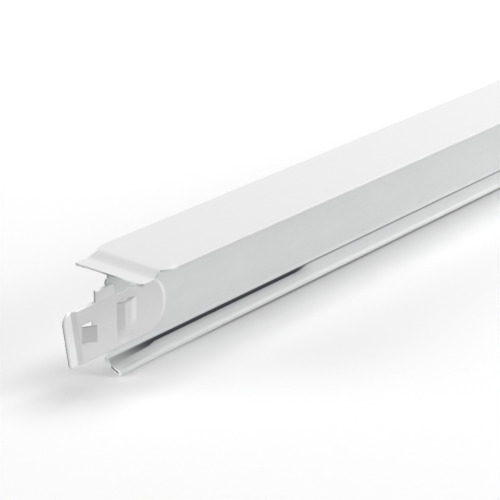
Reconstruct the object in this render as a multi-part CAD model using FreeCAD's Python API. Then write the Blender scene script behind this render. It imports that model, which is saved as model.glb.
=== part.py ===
import FreeCAD, Part
import os
from math import sqrt

# A ceiling grid cross tee standing upside down on its bulb, in millimetres.
# X runs along the tee, Z is up, and the visible face of the ceiling grid is on top.
# The origin is on the floor under the middle of the tee.

# Grid that the tee fits
module_length = 600.0
main_web_thickness = 1.0

# Outside of the section
face_width = 24.0
tee_height = 28.0

# Sheets
body_sheet = 0.3
cap_sheet = 0.2
hem_width = 3.2

# Lip at each end, pressed down so that it seats on the main tee's flange
lip_length = 4.5
lip_ramp = 3.1
lip_drop = 1.3
lip_inset = 1.0
waist_inset = 1.7
lip_corner = 1.4
lip_far_corner = 0.5
lip_bend = 0.6
edge_ease = 5.0

# Seam where the two web layers part above the bulb, with a gap under it near the ends only
seam_half = 0.38
seam_top = 5.0
seam_knee = 4.6
seam_bottom = 4.3
seam_gap = 0.1
neck_half = 0.3
neck_top = 4.0
gap_length = 76.0
gap_closing = 8.0
closed_crown = 3.85

# Bulb, flattened, with a hollow in each half
bulb_half = 4.4
bulb_crown = 3.1
bulb_side = 1.9
bulb_arch = 0.6
bulb_foot = 2.3
bulb_wall = 0.55
bulb_shoulder = 2.4
bulb_shoulder_bend = 5.0
bulb_corner = 1.4
bulb_foot_corner = 1.1
bulb_core = 0.8

# Front half of the bulb at its sheared end, pressed down over a long run, with a slot left of its hollow
crush_length = 17.0
crush_neck = 3.2
crush_dip = 2.05
crush_dip_reach = 1.2
crush_dip_bend = 1.0
crush_half = 4.3
crush_side = 1.5
crush_corner = 0.5
crush_foot = 2.5
crush_foot_rise = 0.28
crush_heel = 0.15
crush_heel_rise = 1.75
slot_near = 0.85
slot_far = 3.3
slot_near_low = 1.55
slot_far_low = 0.4
slot_opening = 0.55

# Back half of the bulb at its sheared end, pinched up against the neck
pinch_length = 5.5
pinch_half = 1.3
pinch_top = 4.1
pinch_foot = 2.6
pinch_bulge = 0.15
pinch_corner = 0.22

# Nose of the web under the lip
nose_reach = 0.9
nose_below_lip = 1.8
nose_half = 1.15

# End clip: outline
clip_sheet = 0.6
clip_below_face = 6.95
clip_above_seam = 0.85
clip_tail = 21.3
tongue_reach = 15.9
tongue_lean = 0.17
tongue_top_corner = 2.6
tongue_bottom_corner = 1.8
shoulder_reach = 5.4
shoulder_rise = 3.0
shoulder_inset = 1.2
shoulder_fillet = 0.8

# End clip: crease across the tongue's tip
crease_start = 4.9
crease_line = 3.3
crease_depth = 0.5
tip_forward = 0.15

# End clip: locking tab, lanced from the tongue and bent out at its free end
window_start = 6.45
window_length = 3.95
window_height = 4.75
window_below_top = 4.6
window_corner = 0.3
tab_slit = 0.15
tab_gap = 0.5
tab_run = 3.1
tab_out = 2.25
tab_bend = 0.4

# End clip: hood pressed out of the clip and the web together, open at its top
hood_start = 2.3
hood_flank = 1.9
hood_crown = 2.3
hood_far_flank = 3.1
hood_depth = 1.1
hood_below_top = 3.0
hood_height = 10.2
hood_fade = 3.7
hood_foot_share = 0.06
hood_bend = 1.0
hood_lance = 0.2
hood_lance_length = 5.8
hood_clearance = 0.08
edge_roll = 0.5
tail_bevel = 1.45
tail_bevel_depth = 0.33

# Worked out from the sizes above
body_length = module_length - main_web_thickness - 2 * shoulder_reach
end_x = -body_length / 2
stack = 2 * cap_sheet + body_sheet
face_half = face_width / 2
web_half = body_sheet
flange_top = tee_height - cap_sheet
flange_bottom = flange_top - body_sheet
clip_bottom = seam_top + clip_above_seam
clip_top = tee_height - clip_below_face
clip_height = clip_top - clip_bottom
window_top = clip_top - window_below_top
window_bottom = window_top - window_height
hood_top = clip_top - hood_below_top
hood_foot = hood_top - hood_height
clip_back = -web_half
clip_front = clip_back - clip_sheet
ramp_end = lip_length + lip_ramp
over = 1.0


def vec(x, y, z):
    return FreeCAD.Vector(x, y, z)


def in_side_view(u, z):
    """A point of a side outline: u is measured inward from the left end."""
    return vec(end_x + u, 0, z)


def in_plan(u, y):
    return vec(end_x + u, y, 0)


def rounded_wire(corners):
    """Closed wire through (point, radius) corners, with a tangent arc at each radius above zero."""
    ends = []
    for index, (point, radius) in enumerate(corners):
        before = corners[index - 1][0] - point
        after = corners[(index + 1) % len(corners)][0] - point
        before.normalize()
        after.normalize()
        if radius <= 0:
            ends.append((point, None, point))
            continue
        middle = before + after
        middle.normalize()
        sine = middle.cross(after).Length
        reach = radius * sqrt(1 - sine * sine) / sine
        centre = point + middle * (radius / sine)
        ends.append((point + before * reach, centre - middle * radius, point + after * reach))
    edges = []
    for index, (start, crown, stop) in enumerate(ends):
        if crown is not None:
            edges.append(Part.Arc(start, crown, stop).toShape())
        following = ends[(index + 1) % len(ends)][0]
        if (following - stop).Length > 1e-6:
            edges.append(Part.LineSegment(stop, following).toShape())
    return Part.Wire(edges)


def prism(corners, direction):
    return Part.Face(rounded_wire(corners)).extrude(direction)


def sharp(points):
    return [(point, 0) for point in points]


def block(low, high):
    size = high - low
    return Part.makeBox(size.x, size.y, size.z, low)


def turned(shape):
    """The same piece at the other end of the tee, half a turn about the vertical."""
    copy = shape.copy()
    copy.rotate(vec(0, 0, 0), vec(0, 0, 1), 180)
    return copy


def drop_at(u):
    """How far the flange is pressed down at u, with both bends of the ramp rounded."""
    def ramp(v):
        return lip_drop * min(1.0, max(0.0, (ramp_end - v) / lip_ramp))

    steps = 8
    return sum(ramp(u + lip_bend * (2 * k / steps - 1)) for k in range(steps + 1)) / (steps + 1)


def half_width_at(u):
    """Half width of the cap at u: narrower on the pressed lip, and least where its ramp ends."""
    if u < ramp_end:
        return face_half - lip_inset - (waist_inset - lip_inset) * max(0.0, (u - lip_length) / lip_ramp)
    share = min(1.0, (u - ramp_end) / edge_ease)
    return face_half - waist_inset * (1 - share) ** 3


def stations():
    """Distances from the left end at which the flange and the cap get a section."""
    bends = [lip_length, ramp_end]
    near = [0.0]
    near += [bend + lip_bend * k / 3 for bend in bends for k in range(-3, 4)]
    near += [ramp_end + lip_bend + (edge_ease - lip_bend) * k / 4 for k in range(1, 5)]
    return near + [body_length - u for u in reversed(near)]


def from_nearer_end(u):
    return min(u, body_length - u)


def cap_section(u):
    """The cap's C section at u: a top sheet with a full round hem along each edge."""
    x = end_x + u
    top = tee_height - drop_at(from_nearer_end(u))
    half = half_width_at(from_nearer_end(u))
    outer = stack / 2
    inner = outer - cap_sheet
    middle = top - outer
    bottom = top - stack
    straight = half - outer
    turn = straight + inner
    inside = half - hem_width

    def point(y, z):
        return vec(x, y, z)

    def line(a, b):
        return Part.LineSegment(point(*a), point(*b)).toShape()

    def arc(a, b, c):
        return Part.Arc(point(*a), point(*b), point(*c)).toShape()

    edges = [line((-straight, top), (straight, top))]
    edges.append(arc((straight, top), (half, middle), (straight, bottom)))
    edges.append(line((straight, bottom), (inside, bottom)))
    edges.append(line((inside, bottom), (inside, bottom + cap_sheet)))
    edges.append(line((inside, bottom + cap_sheet), (straight, bottom + cap_sheet)))
    edges.append(arc((straight, bottom + cap_sheet), (turn, middle), (straight, top - cap_sheet)))
    edges.append(line((straight, top - cap_sheet), (-straight, top - cap_sheet)))
    edges.append(arc((-straight, top - cap_sheet), (-turn, middle), (-straight, bottom + cap_sheet)))
    edges.append(line((-straight, bottom + cap_sheet), (-inside, bottom + cap_sheet)))
    edges.append(line((-inside, bottom + cap_sheet), (-inside, bottom)))
    edges.append(line((-inside, bottom), (-straight, bottom)))
    edges.append(arc((-straight, bottom), (-half, middle), (-straight, top)))
    return Part.Wire(edges)


def flange_section(u):
    x = end_x + u
    top = flange_top - drop_at(from_nearer_end(u))
    half = half_width_at(from_nearer_end(u)) - stack / 2
    corners = [(-half, top), (half, top), (half, top - body_sheet), (-half, top - body_sheet)]
    return Part.makePolygon([vec(x, y, z) for y, z in corners + corners[:1]])


def lip_corner_cutters():
    """What the shearing die takes off the four corners of the two lips."""
    half = half_width_at(0)
    cutters = []
    for side, radius in ((-1, lip_corner), (1, lip_far_corner)):
        low = vec(end_x - over, half - radius, 0)
        high = vec(end_x + radius, half + over, tee_height + over)
        keep = Part.makeCylinder(radius, high.z, vec(high.x, low.y, 0))
        cutter = block(low, high).cut(keep)
        if side < 0:
            cutter = cutter.mirror(vec(0, 0, 0), vec(0, 1, 0))
        cutters += [cutter, turned(cutter)]
    return cutters


def face_cap():
    cap = Part.makeLoft([cap_section(u) for u in stations()], True, True)
    for cutter in lip_corner_cutters():
        cap = cap.cut(cutter)
    return cap


def crown_at(u):
    """Height of the bulb's top beside the neck at u: it rises to close the gap under the seam."""
    share = min(1.0, max(0.0, (from_nearer_end(u) - gap_length) / gap_closing))
    return bulb_crown + (closed_crown - bulb_crown) * share


def bulb_section(u):
    """Outside of the bulb at u. Its underside is arched between two flat feet."""
    half = [(neck_half, crown_at(u), 0), (bulb_shoulder, bulb_crown, bulb_shoulder_bend)]
    half += [(bulb_half, bulb_side, bulb_corner), (bulb_half, 0, bulb_foot_corner), (bulb_foot, 0, 0)]
    corners = [(vec(end_x + u, y, z), radius) for y, z, radius in half]
    corners.append((vec(end_x + u, 0, bulb_arch), 0))
    corners += [(vec(end_x + u, -y, z), radius) for y, z, radius in reversed(half)]
    return corners


def crushed_section():
    """Outside of the bulb at its sheared end, corner by corner as in the full section."""
    corners = [(neck_half, pinch_top, 0), (pinch_half, pinch_top, pinch_corner)]
    corners += [(pinch_half + pinch_bulge, (pinch_top + pinch_foot) / 2, pinch_corner)]
    corners += [(pinch_half, pinch_foot, pinch_corner), (-crush_heel, crush_heel_rise, 0)]
    corners += [(-(crush_heel + crush_foot) / 2, (crush_heel_rise + crush_foot_rise) / 2, 0)]
    corners += [(-crush_foot, crush_foot_rise, 0), (-crush_half, 0, crush_corner)]
    corners += [(-crush_half, crush_side, crush_corner), (-crush_dip_reach, crush_dip, crush_dip_bend)]
    corners += [(-neck_half, crush_neck, 0)]
    return [(in_plan(0, y) + vec(0, 0, z), radius) for y, z, radius in corners]


def end_section(u):
    """Outside of the bulb at u, on its way from the sheared end to the full section."""
    corners = []
    back_corners = 5
    for index, ((start, first), (full, last)) in enumerate(zip(crushed_section(), bulb_section(0))):
        share = min(1.0, u / pinch_length) if index < back_corners else u / crush_length
        place = start + (full - start) * share + vec(u, 0, 0)
        corners.append((place, first + (last - first) * share))
    return corners


def bulb_hollow(u, sign):
    """The hollow in one half of the bulb at u, one wall inside its outline."""
    outer_y = bulb_half - bulb_wall

    def top(y):
        return bulb_crown + (bulb_side - bulb_crown) * (y - neck_half) / (bulb_half - neck_half) - bulb_wall

    def bottom(y):
        return bulb_arch * max(0, 1 - y / bulb_foot) + bulb_wall

    points = [(bulb_core, bottom(bulb_core)), (outer_y, bottom(outer_y))]
    points += [(outer_y, top(outer_y)), (bulb_core, top(bulb_core))]
    return [vec(end_x + u, sign * y, z) for y, z in points]


def slot_section():
    """What is left of the front hollow at the sheared end."""
    points = [(slot_near, slot_near_low), (slot_far, slot_far_low)]
    points += [(y, z + slot_opening) for y, z in reversed(points)]
    return [vec(end_x, -y, z) for y, z in points]


def closed(points):
    return Part.makePolygon(points + points[:1])


def bulb():
    near = crush_length
    far = body_length - crush_length
    hollow = Part.makeLoft([closed(bulb_hollow(u, -1)) for u in (near, far)], True, True)
    places = [near, gap_length, gap_length + gap_closing]
    places += [body_length - u for u in reversed(places)]
    tube = Part.makeLoft([rounded_wire(bulb_section(u)) for u in places], True, True)
    tube = tube.cut(hollow).cut(turned(hollow))
    slot = Part.makeLoft([closed(slot_section()), closed(bulb_hollow(near, -1))], True, True)
    outsides = [rounded_wire(end_section(u)) for u in (0, pinch_length, crush_length)]
    end = Part.makeLoft(outsides, True, True).cut(slot)
    return tube.fuse([end, turned(end)])


def seam():
    """The folded foot of the web, pinched into the neck that carries the bulb."""
    half = [(web_half, seam_top + over), (web_half, seam_top), (seam_half, seam_knee)]
    half += [(seam_half, seam_bottom), (neck_half, neck_top), (neck_half, crush_dip)]
    outline = [vec(end_x, y, z) for y, z in half] + [vec(end_x, -y, z) for y, z in reversed(half)]
    solid = prism(sharp(outline), vec(body_length, 0, 0))
    gap = [(0, (seam_top + seam_knee) / 2), (seam_gap, seam_knee), (seam_gap, neck_top - seam_gap)]
    gap += [(-seam_gap, neck_top - seam_gap), (-seam_gap, seam_knee)]
    slot = prism(sharp([vec(end_x, y, z) for y, z in gap]), vec(body_length, 0, 0))
    return solid.cut(slot)


def web_end(low, high):
    """Front edge of the web from low to high, with the nose that the pressed lip pushes out."""
    nose_centre = flange_bottom - lip_drop - nose_below_lip
    nose_low = in_side_view(0, nose_centre - nose_half)
    nose_high = in_side_view(0, nose_centre + nose_half)
    nose_tip = in_side_view(-nose_reach, nose_centre)
    return [
        Part.LineSegment(in_side_view(0, low), nose_low).toShape(),
        Part.Arc(nose_low, nose_tip, nose_high).toShape(),
        Part.LineSegment(nose_high, in_side_view(0, high)).toShape(),
    ]


def web():
    """Both web layers, from the seam up into the flange, pressed out behind each clip's hood."""
    def inside_flange(u):
        return flange_bottom + body_sheet / 2 - drop_at(from_nearer_end(u))

    low = seam_top
    left = web_end(low, inside_flange(0))
    right = [turned(edge) for edge in left]
    top = [in_side_view(u, inside_flange(u)) for u in stations()]
    upper = [Part.LineSegment(a, b).toShape() for a, b in zip(top, top[1:])]
    lower = Part.LineSegment(in_side_view(0, low), in_side_view(body_length, low)).toShape()
    outline = Part.Wire(Part.__sortEdges__(left + upper + right + [lower]))
    solid = Part.Face(outline).extrude(vec(0, 2 * web_half, 0))
    solid.translate(vec(0, -web_half, 0))
    front = hood(-web_half, hood_depth - hood_clearance, hood_clearance, web_half)
    back = hood(web_half, hood_depth - hood_clearance, hood_clearance, over)
    for form in (front, turned(front)):
        solid = solid.fuse(form)
    slit = lance(hood_clearance)
    for form in (back, slit, turned(back), turned(slit)):
        solid = solid.cut(form)
    return solid


def tee_body():
    body = Part.makeLoft([flange_section(u) for u in stations()], True, True)
    for cutter in lip_corner_cutters():
        body = body.cut(cutter)
    return body.fuse([web(), seam(), bulb()]).removeSplitter()


def hood(base, depth, inside, root):
    """The pressed form: it stands out of the plane y = base by depth, and flattens out at its foot."""
    feet = [hood_start + inside, hood_start + hood_flank + inside]
    feet += [hood_start + hood_flank + hood_crown - inside]
    feet += [hood_start + hood_flank + hood_crown + hood_far_flank - inside]

    def section(z, out):
        plan = [(feet[0] - root, base + root, 0), (feet[0], base, hood_bend)]
        plan += [(feet[1], base - out, hood_bend), (feet[2], base - out, hood_bend)]
        plan += [(feet[3], base, hood_bend), (feet[3] + root, base + root, 0)]
        return [(in_plan(u, y) + vec(0, 0, z), radius) for u, y, radius in plan]

    full = section(hood_foot + hood_fade, depth)
    foot = section(hood_foot, depth * hood_foot_share)
    form = prism(full, vec(0, 0, hood_height - hood_fade - inside))
    return form.fuse(Part.makeLoft([rounded_wire(foot), rounded_wire(full)], True, True))


def lance(inside):
    """The slit along the top of the hood, through the clip and the web."""
    low = in_plan(hood_start, clip_front - over) + vec(0, 0, hood_top - inside)
    return block(low, low + vec(hood_lance_length, web_half - clip_front + 2 * over, hood_lance + inside))


def clip_sheet_form():
    """The clip's sheet before it is cut to its outline, with the crease across the tongue's tip."""
    tail = clip_tail + over
    start = -(tongue_reach - crease_start)
    crease = -(tongue_reach - crease_line)
    tip = -tongue_reach - over
    tip_y = -tip_forward - (tip_forward + crease_depth) * over / crease_line
    front = [(tail, 0), (start, 0), (crease, crease_depth), (tip, tip_y)]
    corners = []
    for offset, path in ((clip_front, front), (clip_back, front[::-1])):
        for u, y in path:
            radius = clip_sheet if (u, y) in front[1:3] else 0
            corners.append((in_plan(u, y + offset), radius))
    shift = tongue_lean * (clip_bottom + clip_height / 2)
    sheet = prism(corners, vec(-tongue_lean * tee_height, 0, tee_height))
    sheet.translate(vec(shift, 0, 0))
    return sheet


def clip_outline():
    """Side outline of the clip: tongue, stop shoulder and round tail."""
    tail = clip_height / 2
    lean = tongue_lean * clip_height / 2
    corners = [
        (in_side_view(-tongue_reach - lean, clip_top), tongue_top_corner),
        (in_side_view(-shoulder_reach, clip_top), 0),
        (in_side_view(-shoulder_reach, clip_top + shoulder_rise), 0),
        (in_side_view(shoulder_inset, clip_top + shoulder_rise), shoulder_fillet),
        (in_side_view(shoulder_inset + shoulder_fillet, clip_top), shoulder_fillet),
        (in_side_view(clip_tail, clip_top), tail * 0.999),
        (in_side_view(clip_tail, clip_bottom), tail * 0.999),
        (in_side_view(-tongue_reach + lean, clip_bottom), tongue_bottom_corner),
    ]
    outline = prism(corners, vec(0, 8 * over, 0))
    outline.translate(vec(0, -4 * over, 0))
    return outline


def window_corners():
    low = window_bottom
    high = window_top
    near = -window_start - window_length
    far = -window_start
    return [in_side_view(u, z) for u, z in ((near, low), (far, low), (far, high), (near, high))]


def locking_tab():
    """The tab lanced out of the window, hinged at its tip side and bent out of the sheet."""
    hinge = -window_start - window_length
    length = sqrt(tab_run ** 2 + tab_out ** 2)
    back = vec(tab_out, tab_run, 0) * (clip_sheet / length)
    free = in_plan(hinge + tab_run, clip_front - tab_out)
    inner = in_plan(hinge + clip_sheet * (length - tab_run) / tab_out, clip_back)
    root = hinge - clip_sheet / 2
    plan = [(in_plan(root, clip_front), 0), (in_plan(hinge, clip_front), tab_bend), (free, 0)]
    plan += [(free + back, 0), (inner, tab_bend + clip_sheet), (in_plan(root, clip_back), 0)]
    tab = prism(plan, vec(0, 0, window_height - tab_slit - tab_gap))
    tab.translate(vec(0, 0, window_bottom + tab_slit))
    return tab


def rolled_edges(clip):
    """The front edges of the tail, the shoulder and the flat, rolled over by the stamping die."""
    flat = end_x - tongue_reach + crease_start
    edges = [
        edge
        for edge in clip.Edges
        if all(v.X > flat and abs(v.Y - clip_front) < 1e-4 for v in edge.Vertexes)
    ]
    return clip.makeFillet(edge_roll, edges)


def tail_end():
    """What the bevel takes off the round tail: a crescent, widest at the end of the tail."""
    radius = clip_height / 2
    low = in_side_view(clip_tail - radius, clip_bottom - over) + vec(0, clip_front - over, 0)
    tool = block(low, low + vec(radius + over, over + tail_bevel_depth, clip_height + 2 * over))
    slope = tail_bevel / tail_bevel_depth
    centre = in_side_view(clip_tail - radius - tail_bevel - slope * over, clip_bottom + radius)
    circle = Part.makeCircle(radius, centre + vec(0, low.y, 0), vec(0, 1, 0))
    depth = over + tail_bevel_depth
    return tool.cut(Part.Face(Part.Wire(circle)).extrude(vec(slope * depth, depth, 0)))


def end_clip():
    clip = rolled_edges(clip_sheet_form().common(clip_outline())).cut(tail_end())
    window = prism([(point, window_corner) for point in window_corners()], vec(0, 8 * over, 0))
    window.translate(vec(0, -4 * over, 0))
    clip = clip.cut(window).fuse(locking_tab())
    clip = clip.fuse(hood(clip_front, hood_depth, 0, clip_sheet / 2))
    clip = clip.cut(hood(clip_back, hood_depth, 0, over)).cut(lance(0))
    return clip.removeSplitter()


def save(shape, name):
    solid = shape.Solids[0] if len(shape.Solids) == 1 else shape
    print(name, "solids", len(shape.Solids), "valid", shape.isValid(), "volume", round(shape.Volume, 1))
    print("   ", shape.BoundBox)
    solid.exportStep("parts/" + name + ".step")


os.makedirs("parts", exist_ok=True)
left_clip = end_clip()
save(tee_body(), "tee_body")
save(face_cap(), "face_cap")
save(left_clip, "end_clip_left")
save(turned(left_clip), "end_clip_right")
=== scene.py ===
from math import cos, radians, sin

import bpy
from mathutils import Matrix, Vector


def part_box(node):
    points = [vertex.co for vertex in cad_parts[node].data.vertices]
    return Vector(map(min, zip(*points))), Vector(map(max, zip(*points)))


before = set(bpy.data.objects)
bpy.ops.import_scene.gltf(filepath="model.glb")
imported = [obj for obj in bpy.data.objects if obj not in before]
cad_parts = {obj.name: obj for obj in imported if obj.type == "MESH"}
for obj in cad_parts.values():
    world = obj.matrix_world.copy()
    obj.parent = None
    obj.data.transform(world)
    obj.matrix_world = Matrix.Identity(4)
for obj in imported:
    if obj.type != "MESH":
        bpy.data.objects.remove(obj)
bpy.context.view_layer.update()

# The camera looks down along the tee from its photographed end, through a long lens.
# The tee stands upside down on its bulb, and its first 180 mm are in the picture.
scene = bpy.context.scene
scene.view_settings.view_transform = "Standard"
camera_turn = radians(-52.28)
camera_height = radians(21.82)
camera_roll = radians(1.16)
camera_from_end = Vector((-0.3114, -0.2847, 0.2020))
camera_lens = 134.2
camera_nearest = 0.01
camera_farthest = 20
tee_end = Vector((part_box("face_cap")[0].x, 0, 0))

flat = cos(camera_height)
back = Vector((sin(camera_turn) * flat, -cos(camera_turn) * flat, sin(camera_height)))
right = Vector((cos(camera_turn), sin(camera_turn), 0))
up = back.cross(right)
rolled_right = right * cos(camera_roll) + up * sin(camera_roll)
rolled_up = up * cos(camera_roll) - right * sin(camera_roll)
camera_data = bpy.data.cameras.new("camera")
camera_data.lens = camera_lens
camera_data.clip_start = camera_nearest
camera_data.clip_end = camera_farthest
camera = bpy.data.objects.new("camera", camera_data)
scene.collection.objects.link(camera)
camera_axes = Matrix((rolled_right, rolled_up, back)).transposed()
camera.matrix_world = Matrix.Translation(tee_end + camera_from_end) @ camera_axes.to_4x4()
scene.camera = camera


# A sheet of white paper lies under the tee and keeps its shadow. Near the tee it also gets painted
# shade from an ambient occlusion node, which fades towards the photographed end and is stronger
# under the tongue. Far from the tee it turns into the white room, which also shows in bare metal.
# Three soft lamps light the photographed end.
millimetres = 1000  # in the metre that the frame is measured in


class Value:
    """An output socket in a finish's node tree. Sums and products of values add Math nodes."""

    def __init__(self, tree, socket=None):
        self.tree = tree
        self.socket = socket

    def node(self, kind, settings, output=0, **sockets):
        """The chosen output of a new node, whose settings are set before its sockets."""
        node = self.tree.nodes.new("ShaderNode" + kind)
        for name, setting in settings.items():
            setattr(node, name, setting)
        for name, given in sockets.items():
            key = int(name[1:]) if name[1:].isdigit() else name.replace("_", " ")
            if isinstance(given, Value):
                self.tree.links.new(given.socket, node.inputs[key])
            else:
                node.inputs[key].default_value = given
        return Value(self.tree, node.outputs[output]) if node.outputs else None

    def maths(self, operation, first, second=0.0):
        return self.node("Math", {"operation": operation}, _0=first, _1=second)

    def __add__(self, other):
        return self.maths("ADD", self, other)

    __radd__ = __add__

    def __sub__(self, other):
        return self.maths("SUBTRACT", self, other)

    def __rsub__(self, other):
        return self.maths("SUBTRACT", other, self)

    def __mul__(self, other):
        return self.maths("MULTIPLY", self, other)

    __rmul__ = __mul__

    def __abs__(self):
        return self.maths("ABSOLUTE", self)

    def rise(self, low, high):
        """A smooth step from 0 at low to 1 at high."""
        steps = {"interpolation_type": "SMOOTHSTEP"}
        return self.node("MapRange", steps, Value=self, From_Min=low, From_Max=high)

    def fall(self, low, high):
        """A smooth step from 1 at low to 0 at high."""
        return 1 - self.rise(low, high)

    def band(self, start, full, still_full, gone):
        """1 from full to still_full, and faded to 0 at start and at gone."""
        return self.rise(start, full) * self.fall(still_full, gone)

    def blend(self, first, second):
        """A colour between two others, by this value."""
        return self.node("Mix", {"data_type": "RGBA"}, output=2, _0=self, _6=first, _7=second)

    def grey(self):
        """This value as a colour."""
        return self.node("CombineColor", {}, Red=self, Green=self, Blue=self)

    def spot(self, stretch=(1, 1, 1)):
        """The place on the piece in millimetres, stretched along each axis."""
        place = self.node("TexCoord", {}, output="Object")
        scale = tuple(millimetres * share for share in stretch)
        return self.node("VectorMath", {"operation": "MULTIPLY"}, _0=place, _1=scale)

    def along(self, axis):
        """How far along one axis the place is, in millimetres."""
        return self.node("SeparateXYZ", {}, output=axis, Vector=self.spot())

    def facing(self, axis):
        """How much of the surface's own normal points along one axis, either way."""
        normal = self.node("NewGeometry", {}, output="Normal")
        return abs(self.node("SeparateXYZ", {}, output=axis, Vector=normal))

    def noise(self, stretch, detail):
        """Soft noise, whose patches are about a millimetre wide before the stretch."""
        return self.node("TexNoise", {}, Vector=self.spot(stretch), Scale=1.0, Detail=detail)


def finish(name, make_surface):
    """A material whose surface is what make_surface returns."""
    material = bpy.data.materials.new(name)
    material.use_nodes = True
    material.node_tree.nodes.clear()
    start = Value(material.node_tree)
    start.node("OutputMaterial", {}, Surface=make_surface(start))
    return material


white = (1, 1, 1, 1)
room_level = 0.20
paper_half = 3.0
paper_white = (0.95, 0.95, 0.95, 1)
paper_glow = 0.125
paper_fade = (450, 1000)
shade_colour = (0.45, 0.45, 0.45, 1)
shade_reach = 0.018
shade_samples = 16
shade_at_end = 0.15
shade_grows = (0, 60)
tongue_shade = 0.4
tongue_shade_ends = (-6, 0)


def seen_white(start):
    """1 for what the camera sees directly, in a polished piece or through a clear one."""
    kinds = ("Is Camera Ray", "Is Glossy Ray", "Is Transmission Ray")
    direct, mirrored, through = (start.node("LightPath", {}, output=kind) for kind in kinds)
    return direct + mirrored + through


def room_light(start):
    """The white room: white to look at, and a plain low light on what stands in it."""
    level = seen_white(start) * (1 - room_level) + room_level
    return {"Color": white, "Strength": level}


def sweep_paper(start):
    from_end = start.along(0) - millimetres * tee_end.x
    shade_share = shade_at_end + (1 - shade_at_end) * from_end.rise(*shade_grows)
    shade_share = shade_share + tongue_shade * from_end.fall(*tongue_shade_ends)
    samples = {"samples": shade_samples}
    # Painted shade: the paper is blended towards the shade colour where the tee is close by.
    covered = 1 - start.node("AmbientOcclusion", samples, output="AO", Distance=shade_reach)
    sheet = start.node("BsdfDiffuse", {}, Color=paper_white)
    glow = start.node("Emission", {}, Color=white, Strength=seen_white(start) * paper_glow)
    sheet = start.node("AddShader", {}, _0=sheet, _1=glow)
    shade = start.node("BsdfDiffuse", {}, Color=shade_colour)
    sheet = start.node("MixShader", {}, _0=covered * shade_share, _1=sheet, _2=shade)
    room = start.node("Emission", {}, **room_light(start))
    from_middle = start.node("VectorMath", {"operation": "LENGTH"}, output="Value", _0=start.spot())
    return start.node("MixShader", {}, _0=from_middle.rise(*paper_fade), _1=sheet, _2=room)


paper_mesh = bpy.data.meshes.new("floor")
corners = [(-paper_half, -paper_half, 0), (paper_half, -paper_half, 0)]
corners += [(paper_half, paper_half, 0), (-paper_half, paper_half, 0)]
paper_mesh.from_pydata(corners, [], [(0, 1, 2, 3)])
paper_mesh.materials.append(finish("sweep_paper", sweep_paper))
paper = bpy.data.objects.new("floor", paper_mesh)
scene.collection.objects.link(paper)

world = bpy.data.worlds.new("room")
world.use_nodes = True
world.node_tree.nodes.clear()
room = Value(world.node_tree)
room.node("OutputWorld", {}, Surface=room.node("Background", {}, **room_light(room)))
scene.world = world

lamp_target = tee_end + Vector((0.05, 0, 0))
lamp_distance = 1.3
lamp_size = 0.6


def softbox(name, turn, height, power):
    """A square soft lamp that shines on the near end from turn and height, in degrees."""
    turn, height = radians(turn), radians(height)
    away = Vector((cos(turn) * cos(height), sin(turn) * cos(height), sin(height)))
    lamp_data = bpy.data.lights.new(name, "AREA")
    lamp_data.size = lamp_size
    lamp_data.energy = power
    lamp = bpy.data.objects.new(name, lamp_data)
    lamp.location = lamp_target + lamp_distance * away
    lamp.rotation_mode = "QUATERNION"
    lamp.rotation_quaternion = (-away).to_track_quat("-Z", "Y")
    scene.collection.objects.link(lamp)


softbox("key_box", turn=0, height=52, power=8.2)
softbox("side_box", turn=-45, height=20, power=9.0)
softbox("back_box", turn=135, height=22, power=9.0)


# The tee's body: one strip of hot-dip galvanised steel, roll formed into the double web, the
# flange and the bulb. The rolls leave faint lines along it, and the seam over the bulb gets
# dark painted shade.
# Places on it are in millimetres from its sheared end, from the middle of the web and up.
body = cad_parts["tee_body"]
sheared_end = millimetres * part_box("face_cap")[1].x

# The seam gapes from the front of the bulb, pressed down at the end, to where the bulb closes.
# Painted shade darkens it there, and the bulb's top beside it.
crush_ends = (13, 17)
crush_drop = 1.3
crush_spread = 0.6
crush_blur = 1.2
bulb_closes = (76, 84)
closed_lift = 0.75
closed_top_lift = 0.15
closed_fading = 0.35
seam_low = 2.98
seam_high = 3.88
seam_blur = 0.15
seam_top = (seam_high - 0.1, seam_high + 0.1)
seam_side = (0.6, 1.1)
seam_at_end = 0.3
seam_shade_grows = (0, 18)
seam_shade_colour = (0.03, 0.04, 0.045, 1)

# Painted shade darkens the bulb near the seam, under the flange, and along its foot by the paper.
neck_shade = 0.21
neck_shade_closed = 0.02
neck_side = (0.8, 3.0)
neck_top = (seam_high, seam_high + 0.2)
foot_shade_at_end = 0.05
foot_shade_depth = 0.5
foot_shade_grows = (10, 70)
foot_top = (0.1, 0.9)

# The shears leave the web's end as dark bare steel. Painted light and shade vary it across the tee:
# darkest near the middle, lighter on the far side and gone on the near side. The bulb's end face
# gets a painted highlight low down, round its rim.
faces_end = (0.6, 0.8)
cut_back = (2.0, 2.5)
cut_bottom = (12, 16)
cut_side = (-6, -1)
cut_far_side = (0.5, 2)
cut_far_painted_light = 0.6
cut_strength = 0.85
cut_steel_and_shade = (0.24, 0.24, 0.24, 1)
rim_top = (4.6, 5.0)
rim_highlight_tone = 0.92

# Painted light and shade: the web is painted darker than the bulb, darker still further along and
# a little less dark low down; the bulb is painted lighter where it closes, and a band of painted
# light lies on the web over the clip's top edge.
bulb_tone = 0.775
closed_painted_light = 0.03
web_painted_shade = 0.11
web_foot = (4.2, 5.0)
web_far = (50, 110)
web_far_painted_shade = 0.2
web_low = (5, 17)
web_low_painted_light = 0.045
over_clip = (20.9, 21.1, 21.1, 21.5)
over_clip_length = (12, 14)
over_clip_side = (-0.2, 0.1)
over_clip_painted_light = 0.16

spangle_stretch = (0.25, 0.5, 0.5)
roll_line_stretch = (0.01, 2.2, 2.2)
steel_cloud_stretch = (0.03, 0.08, 0.08)
spangle_depth = 0.015
roll_line_depth = 0.03
steel_cloud_depth = 0.03
steel_red = 0.985
steel_metal = 0.15
steel_rough = 0.64
roll_line_rough = 0.06
spangle_rough = 0.04


def across_tee(start):
    """How far across the tee the place is: below 0 on the side of the nearer end's clip."""
    return start.along(0) * start.along(1) * (-1 / sheared_end)


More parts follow.
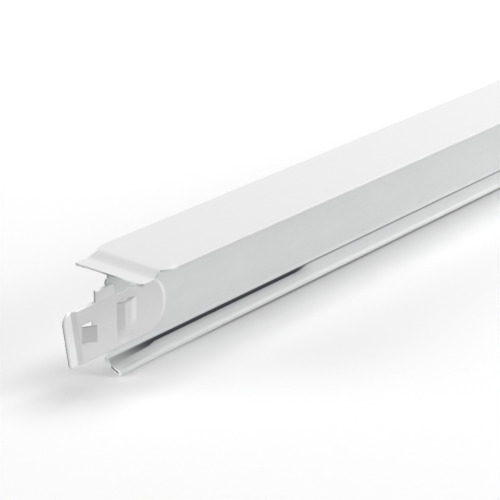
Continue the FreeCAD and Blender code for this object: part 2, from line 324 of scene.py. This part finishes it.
def galvanised_steel(start):
    place = start.spot(spangle_stretch)
    cells = start.node("TexVoronoi", {}, output="Color", Vector=place, Scale=1.0)
    spangle = start.node("SeparateXYZ", {}, output=0, Vector=cells)
    lines = start.noise(roll_line_stretch, detail=3.0)
    cloud = start.noise(steel_cloud_stretch, detail=2.0)
    height = start.along(2)
    across = across_tee(start)
    aside = abs(start.along(1))
    from_end = sheared_end - abs(start.along(0))
    crushed = from_end.fall(*crush_ends)
    closed = from_end.rise(*bulb_closes)

    # Painted shade: a near-black colour over the seam's groove and the bulb's top beside it.
    above_bulb = height - (seam_low - crush_drop * crushed + closed_lift * closed)
    seam_shade = above_bulb.rise(-seam_blur, seam_blur + crush_blur * crushed)
    seam_shade = seam_shade * (height - closed_top_lift * closed).fall(*seam_top)
    seam_shade = seam_shade * (aside - crush_spread * crushed).fall(*seam_side)
    seam_shade = seam_shade * (seam_at_end + (1 - seam_at_end) * from_end.rise(*seam_shade_grows))
    seam_shade = seam_shade * (1 - closed_fading * closed)

    # Painted shade near the seam and along the bulb's foot.
    neck = neck_shade - (neck_shade - neck_shade_closed) * closed
    neck = neck * aside.fall(*neck_side) * height.fall(*neck_top)
    foot = foot_shade_at_end + foot_shade_depth * from_end.rise(*foot_shade_grows)
    foot = foot * height.fall(*foot_top)
    end_face = start.facing(0).rise(*faces_end)
    # Dark bare steel on the sheared end, with painted light and shade across the tee.
    cut = end_face * from_end.fall(*cut_back) * height.rise(*cut_bottom)
    cut = cut * across.rise(*cut_side) * (1 - cut_far_painted_light * across.rise(*cut_far_side))
    # Painted highlight on the bulb's end face, low down.
    rim_highlight = end_face * height.fall(*rim_top)
    # Painted light in a band on the web just over the clip's top edge.
    glow = height.band(*over_clip) * from_end.fall(*over_clip_length)
    glow = glow * across.fall(*over_clip_side)

    # Painted light and shade on the steel's tone, for the web and the bulb.
    web = height.rise(*web_foot)
    tone = bulb_tone + closed_painted_light * closed
    darker = (web_painted_shade + closed_painted_light * closed) * (1 + web_far_painted_shade * from_end.rise(*web_far))
    tone = tone - darker * web
    tone = tone + web_low_painted_light * web * height.fall(*web_low) + over_clip_painted_light * glow
    tone = tone + spangle_depth * spangle + roll_line_depth * lines + steel_cloud_depth * cloud
    tone = tone * (1 - neck) * (1 - foot)
    tone = tone + (rim_highlight_tone - tone) * rim_highlight
    steel = tone.node("CombineColor", {}, Red=tone * steel_red, Green=tone, Blue=tone)
    return start.node(
        "BsdfPrincipled", {},
        Base_Color=seam_shade.blend((cut_strength * cut).blend(steel, cut_steel_and_shade), seam_shade_colour),
        Metallic=steel_metal * (1 - seam_shade),
        Roughness=steel_rough + roll_line_rough * lines + spangle_rough * spangle,
    )


body.data.materials.clear()
body.data.materials.append(finish("galvanised_steel", galvanised_steel))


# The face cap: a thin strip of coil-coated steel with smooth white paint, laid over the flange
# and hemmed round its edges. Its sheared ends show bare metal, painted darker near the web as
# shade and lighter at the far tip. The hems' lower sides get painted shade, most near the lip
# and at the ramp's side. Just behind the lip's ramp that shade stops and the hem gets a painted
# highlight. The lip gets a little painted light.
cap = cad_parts["face_cap"]

paint_tone = 0.85
lip_painted_light = 0.03
lip_ends = (4.5, 6.5)
paint_blue = 0.997
paint_rough = 0.36
film_stretch = (0.5, 0.5, 0.5)
coil_line_stretch = (0.01, 1.2, 1.2)
film_depth = 0.01
film_rough = 0.04

sheared_faces_end = (0.7, 0.8)
sheared_depth = (sheared_end - 0.25, sheared_end - 0.1)
sheared_near_share = 0.1
sheared_side = (-6, -1)
bare_tone = 0.62
bare_near_painted_shade = 0.32
bare_near = (-0.5, 3)
bare_far_painted_light = 0.15
bare_far = (7, 10)

hem_faces_up = (0.55, 0.95)
hem_side = (9.3, 9.6)
hem_shade_depth = 0.41
hem_shade_fade = 0.31
hem_shade_ends = (10, 115)
ramp_side = (5.0, 5.6, 7.0, 7.4)
ramp_side_painted_shade = 0.7
unshaded_hem = (7.0, 7.4, 11, 14)
unshaded_hem_share = 0.75
glint_length = (9.5, 10.5, 12.0, 13.5)
glint_side = (-10.6, -10.0)
painted_glint_strength = 0.7


def white_paint(start):
    film = start.noise(film_stretch, detail=2.0)
    lines = start.noise(coil_line_stretch, detail=2.0)
    across = across_tee(start)
    from_end = sheared_end - abs(start.along(0))
    facing_up = start.facing(2)

    # Painted light: the lip is made a little lighter than the face.
    tone = paint_tone + lip_painted_light * from_end.fall(*lip_ends) + film_depth * (film + lines)
    paint = tone.node("CombineColor", {}, Red=tone, Green=tone, Blue=tone * paint_blue)
    # Painted highlight: the hem just behind the lip's ramp is blended towards white.
    painted_glint = from_end.band(*glint_length) * across.fall(*glint_side)
    paint = (painted_glint_strength * painted_glint * facing_up).blend(paint, white)

    sheared = abs(start.along(0)).rise(*sheared_depth) * start.facing(0).rise(*sheared_faces_end)
    far_share = across.rise(*sheared_side)
    sheared = sheared * (sheared_near_share + (1 - sheared_near_share) * far_share)
    # The bare metal gets painted shade near the web and painted light at the far tip.
    bare = bare_tone - bare_near_painted_shade * across.fall(*bare_near)
    bare = bare + bare_far_painted_light * across.rise(*bare_far)

    # Painted shade on the hems' lower sides, blended towards the dark steel colour.
    hem_shade = facing_up.fall(*hem_faces_up) * abs(start.along(1)).rise(*hem_side)
    hem_shade = hem_shade * (hem_shade_depth - hem_shade_fade * from_end.rise(*hem_shade_ends))
    hem_shade = hem_shade * (1 - unshaded_hem_share * from_end.band(*unshaded_hem))
    hem_shade = hem_shade * (1 + ramp_side_painted_shade * from_end.band(*ramp_side))
    return start.node(
        "BsdfPrincipled", {},
        Base_Color=hem_shade.blend(sheared.blend(paint, bare.grey()), cut_steel_and_shade),
        Roughness=paint_rough + film_rough * film,
    )


cap.data.materials.clear()
cap.data.materials.append(finish("white_paint", white_paint))


# The end clips: stamped from zinc-plated strip and held to the web by a hood pressed out of both.
# The tongue has a crease near its tip and a locking tab lanced out of it. Painted light lies on
# the rolled edges, the foot and right flank of the hood, the tail's rounded edge, the tip beyond
# the crease, the lower part, the shoulder and the top edge; painted shade lies on the strip under
# the top edge and on the tab. Places count outward from the sheared end.
window_length = (6.1, 6.2, 10.5, 10.6)
window_height = (11.5, 11.6, 16.6, 16.7)
window_painted_shade = 0.05
cut_zinc_faces = (0.75, 0.9)
cut_zinc_start = (0.2, 0.4)
cut_zinc_strength = 0.85
cut_zinc = (0.3, 0.3, 0.3, 1)

edge_light_faces_up = (0.3, 0.9)
tongue_starts = (-2.0, -1.2)
edge_light_top = (20, 20.5)
painted_edge_light_gain = 0.15
hood_foot_length = (-7.2, -6.0, -4.0, -2.8)
hood_foot_height = (5.0, 8.5, 11.0, 12.0)
hood_foot_painted_light = 0.1
hood_flank_length = (-9.8, -9.2, -6.8, -6.4)
hood_flank_height = (11, 13, 17.8, 18)
hood_flank_painted_light = 0.07
tail_bevel_faces = (0.1, 0.2, 0.5, 0.7)
tail_bevel_length = (-18, -17)
tail_bevel_height = (7, 11, 17.5, 20)
tail_bevel_painted_highlight = 0.1
tongue_middle = 13.45
tongue_lean = 0.17
crease = (12.4, 12.9)
tip_painted_light = 0.17

zinc_tone = 0.645
zinc_low = (5, 19)
zinc_low_painted_light = 0.105
shoulder_height = (20.5, 21.5)
shoulder_painted_light = 0.09
top_strip = (20.5, 20.8)
top_strip_painted_shade = 0.15
top_edge_faces_up = (0.5, 0.8)
top_edge_painted_light = 0.42
zinc_cloud_stretch = (0.3, 0.3, 0.3)
zinc_cloud_depth = 0.03
zinc_metal = 0.3
zinc_rough = 0.48
zinc_cloud_rough = 0.06


def clip_steel(start):
    cloud = start.noise(zinc_cloud_stretch, detail=3.0)
    height = start.along(2)
    outward = abs(start.along(0)) - sheared_end
    facing_end = start.facing(0)
    facing_up = start.facing(2)
    behind_tongue = outward.fall(*tongue_starts)

    window = outward.band(*window_length) * height.band(*window_height)
    cut = facing_end.rise(*cut_zinc_faces) * outward.rise(*cut_zinc_start) * (1 - window)
    cut = cut + facing_up.rise(*cut_zinc_faces) * window

    # Painted light on the up- and down-facing rolled edges below the top.
    painted_edge_light = facing_up.rise(*edge_light_faces_up) * (1 - window)
    painted_edge_light = painted_edge_light * behind_tongue * height.fall(*edge_light_top)
    # Painted light on the foot and the right flank of the hood.
    hood_foot = outward.band(*hood_foot_length) * height.band(*hood_foot_height)
    hood_flank = outward.band(*hood_flank_length) * height.band(*hood_flank_height)
    # Painted highlight on the tail's rounded edge.
    tail_bevel = facing_end.band(*tail_bevel_faces) * height.band(*tail_bevel_height)
    tail_bevel = tail_bevel * outward.fall(*tail_bevel_length)
    # Painted light on the tongue's tip beyond the crease.
    tip = (outward - tongue_lean * (height - tongue_middle)).rise(*crease)
    # Painted shade on the strip under the top edge, and painted light on the top face.
    top_painted_light_and_shade = top_edge_painted_light * facing_up.rise(*top_edge_faces_up) - top_strip_painted_shade
    top = behind_tongue * height.rise(*top_strip) * top_painted_light_and_shade

    tone = zinc_tone + zinc_cloud_depth * cloud
    # Painted light: lighter low down and at the shoulder.
    tone = tone + zinc_low_painted_light * height.fall(*zinc_low)
    tone = tone + shoulder_painted_light * height.rise(*shoulder_height) + painted_edge_light_gain * painted_edge_light
    tone = tone + tail_bevel_painted_highlight * tail_bevel + hood_flank_painted_light * hood_flank
    tone = tone * (1 + hood_foot_painted_light * hood_foot) * (1 + tip_painted_light * tip)
    # Painted shade on the locking tab in the window.
    tone = tone * (1 - window_painted_shade * window) * (1 + top)
    return start.node(
        "BsdfPrincipled", {},
        Base_Color=(cut_zinc_strength * cut).blend(tone.grey(), cut_zinc),
        Metallic=zinc_metal,
        Roughness=zinc_rough + zinc_cloud_rough * cloud,
    )


zinc_plate = finish("clip_steel", clip_steel)
for side in ("left", "right"):
    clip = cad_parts["end_clip_" + side]
    clip.data.materials.clear()
    clip.data.materials.append(zinc_plate)
